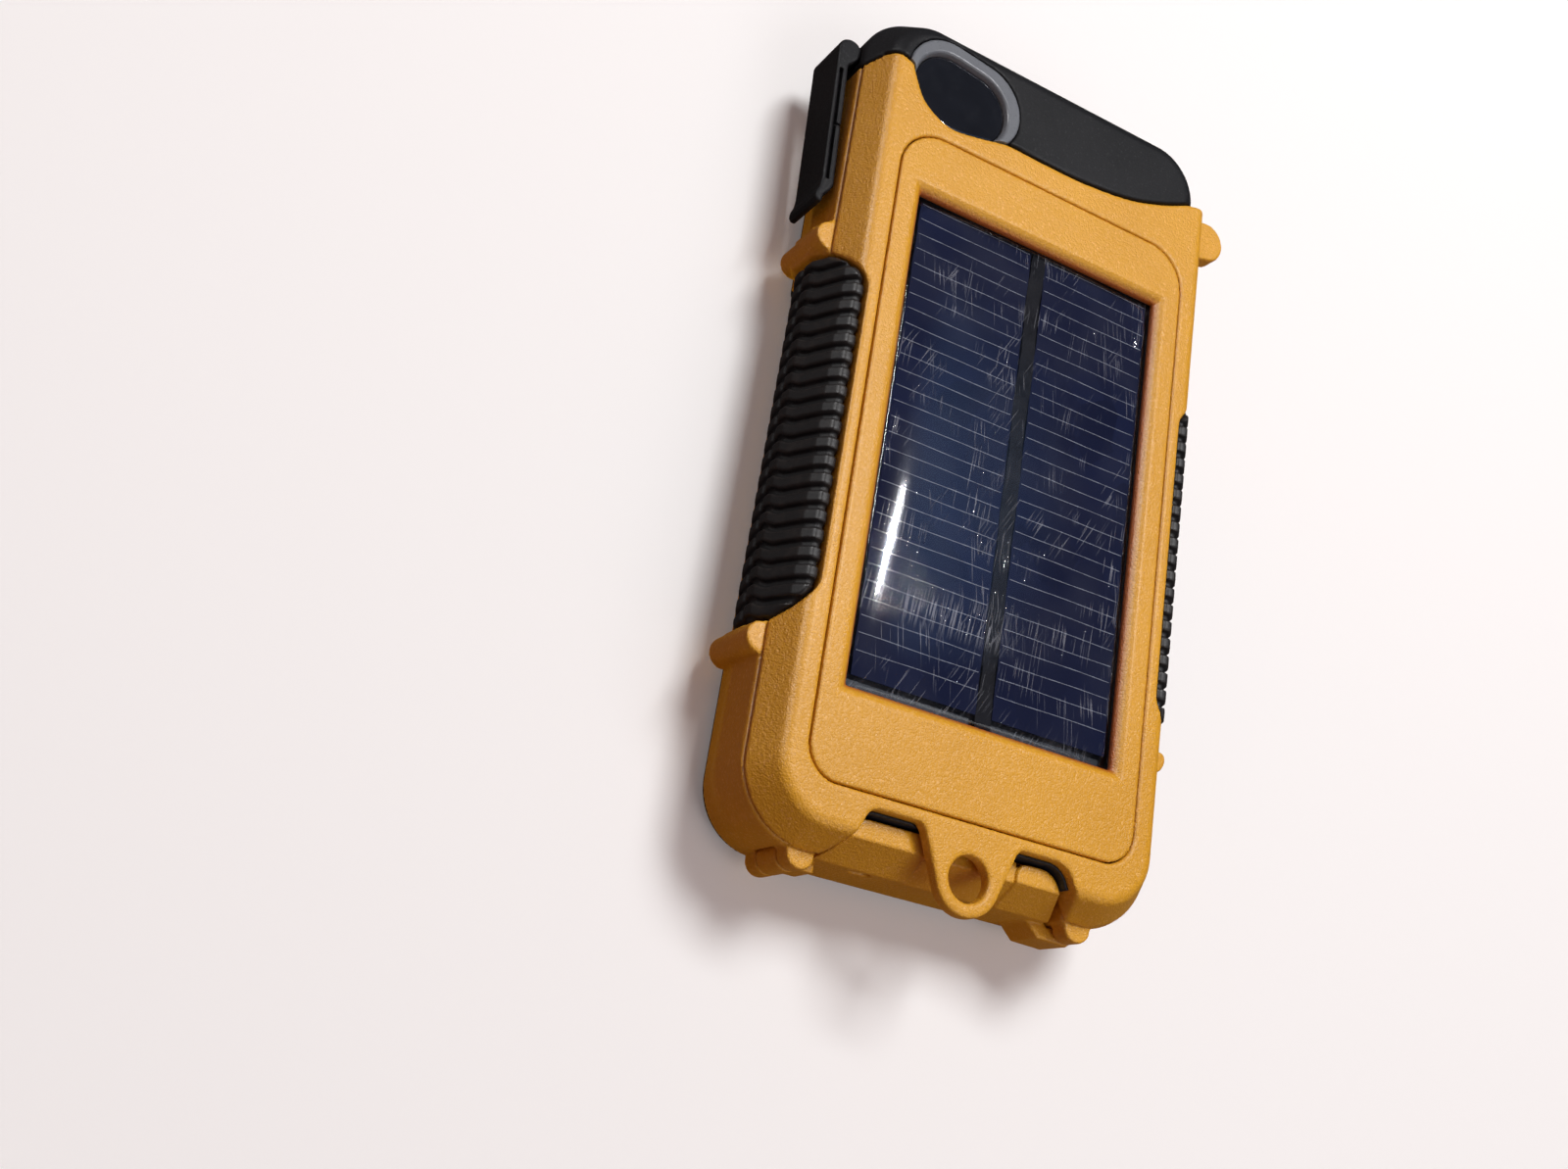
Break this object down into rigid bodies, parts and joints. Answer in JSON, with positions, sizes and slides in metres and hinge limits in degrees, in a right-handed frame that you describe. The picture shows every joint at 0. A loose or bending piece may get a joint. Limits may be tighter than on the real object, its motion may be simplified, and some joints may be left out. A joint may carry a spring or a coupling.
{
  "type": "solar phone charger case",
  "caption": "Rugged battery case for a pocket phone: solar panel on the back, flip lid with side latch, port door, rubber grips and lanyard loop.",
  "frame": {"origin": "centre of the footprint (bounding box in x and y) on the front rest plane", "axes": "+Z out of the solar face, +Y towards the camera window and lid, +X to the right of somebody who looks at the solar face"},
  "size_m": [0.0798, 0.1412, 0.022],
  "materials": {
    "amber_plastic": "fine textured, slightly sparkling",
    "black_plastic": "fine textured",
    "grip_rubber": "satin",
    "seal_rubber": "matt",
    "ring_plastic": "satin",
    "camera_glass": "gloss",
    "solar_epoxy": "gloss, scuffed",
    "solar_silicon": "polycrystalline with fine silver fingers",
    "black_parts": "satin",
    "steel": "satin",
    "battery_foil": "satin",
    "circuit_board": "satin",
    "clear_plastic": "gloss",
    "screen_film": "gloss",
    "red_wire": "satin",
    "black_wire": "satin"
  },
  "bodies": {
    "housing": {"back_shell": "amber_plastic", "front_shell": "amber_plastic", "solar_bezel": "amber_plastic", "solar_cover": "solar_epoxy", "solar_gasket": "seal_rubber", "solar_cell_left": "solar_silicon", "solar_cell_right": "solar_silicon", "solar_busbar": "black_parts", "solar_backing": "black_parts", "port_gasket": "seal_rubber", "inner_tray": "black_plastic", "front_bezel": "black_plastic", "membrane_gasket": "seal_rubber", "screen_membrane": "screen_film", "grip_left": "grip_rubber", "grip_right": "grip_rubber", "battery_cell": "battery_foil", "charge_board": "circuit_board", "usb_socket": "steel", "dock_connector": "black_parts", "controller_chip": "black_parts", "power_inductor": "black_parts", "check_switch": "steel", "light_guide": "clear_plastic", "level_led_1": "clear_plastic", "level_led_2": "clear_plastic", "level_led_3": "clear_plastic", "level_led_4": "clear_plastic", "solar_lead_red": "red_wire", "solar_lead_black": "black_wire", "battery_lead_red": "red_wire", "battery_lead_black": "black_wire", "tray_screw_1": "steel", "tray_screw_2": "steel", "tray_screw_3": "steel", "tray_screw_4": "steel", "tray_screw_5": "steel", "tray_screw_6": "steel", "lid_hinge_pin": "steel", "door_hinge_pin": "steel"},
    "lid": {"top_lid": "black_plastic", "camera_ring": "ring_plastic", "camera_window": "camera_glass", "lid_seal": "seal_rubber", "latch_pin": "steel"},
    "latch": {"latch_lever": "black_plastic"},
    "door": {"port_door": "amber_plastic", "port_seal": "seal_rubber"},
    "home_key": {"home_button": "grip_rubber"},
    "check_key": {"check_button": "grip_rubber"},
    "volume_up_key": {"volume_up_button": "black_plastic"},
    "volume_down_key": {"volume_down_button": "black_plastic"},
    "power_key": {"power_button": "black_plastic"}
  },
  "joints": [
    {"name": "lid_hinge", "type": "hinge", "parent": "housing", "child": "lid", "pos_m": [0.0362, 0.05835, 0.01], "axis": [0, 0, -1], "range_deg": [0, 100]},
    {"name": "latch_pivot", "type": "hinge", "parent": "lid", "child": "latch", "pos_m": [-0.0378, 0.06145, 0.01], "axis": [0, 0, -1], "range_deg": [0, 75]},
    {"name": "door_hinge", "type": "hinge", "parent": "housing", "child": "door", "pos_m": [-0.0249, -0.06655, 0.01], "axis": [0, 0, -1], "range_deg": [0, 95]},
    {"name": "home_button_press", "type": "slide", "parent": "housing", "child": "home_key", "axis": [0, 0, 1], "range_m": [0, 0.0006]},
    {"name": "check_button_press", "type": "slide", "parent": "housing", "child": "check_key", "axis": [0, 0, 1], "range_m": [0, 0.0004]},
    {"name": "volume_up_press", "type": "slide", "parent": "housing", "child": "volume_up_key", "axis": [-1, 0, 0], "range_m": [0, 0.0006]},
    {"name": "volume_down_press", "type": "slide", "parent": "housing", "child": "volume_down_key", "axis": [-1, 0, 0], "range_m": [0, 0.0006]},
    {"name": "power_button_press", "type": "slide", "parent": "lid", "child": "power_key", "axis": [0, -1, 0], "range_m": [0, 0.0005]}
  ]
}
